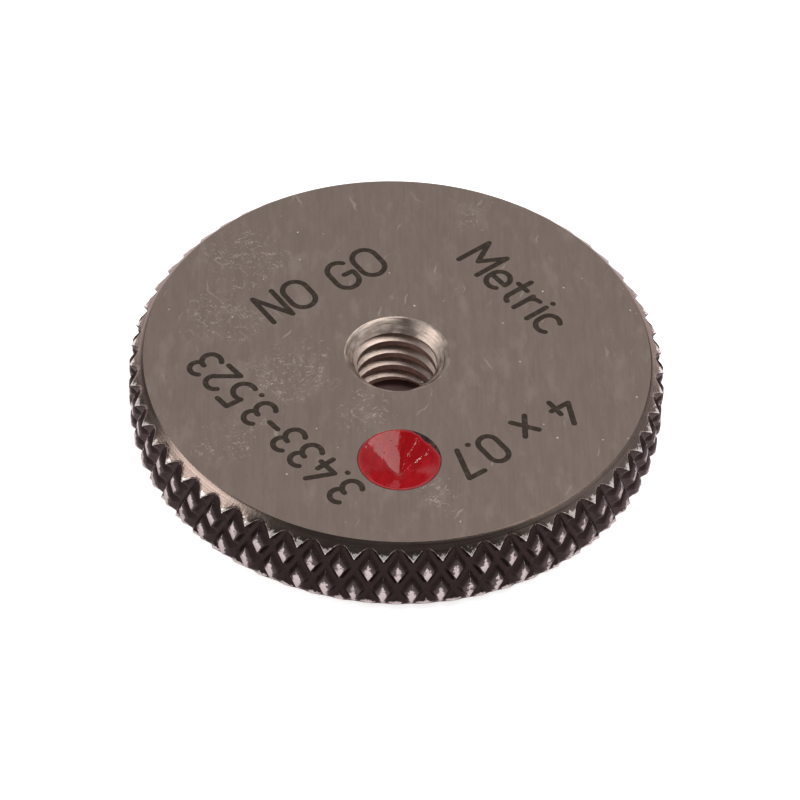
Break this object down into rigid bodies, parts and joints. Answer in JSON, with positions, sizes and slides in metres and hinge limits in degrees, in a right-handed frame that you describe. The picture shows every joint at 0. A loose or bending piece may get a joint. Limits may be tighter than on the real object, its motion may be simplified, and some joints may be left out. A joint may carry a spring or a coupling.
{
  "type": "thread ring gauge",
  "caption": "Small no-go ring gauge: a flat steel disc with a diamond-knurled rim, a central gauging thread and a drilled spot filled with red lacquer.",
  "frame": {"origin": "centre of the bottom face, on the thread's axis", "axes": "+Z along the thread's axis and up through the marked top face, -Y from the axis towards the red spot"},
  "size_m": [0.022, 0.022, 0.0037],
  "materials": {
    "gauge_steel": "hardened tool steel, both faces ground, rim turned and knurled",
    "red_lacquer": "gloss red lacquer, brushed into a drilled spot"
  },
  "bodies": {
    "root": {"gauge_ring": "gauge_steel", "red_paint_dot": "red_lacquer"}
  },
  "joints": []
}
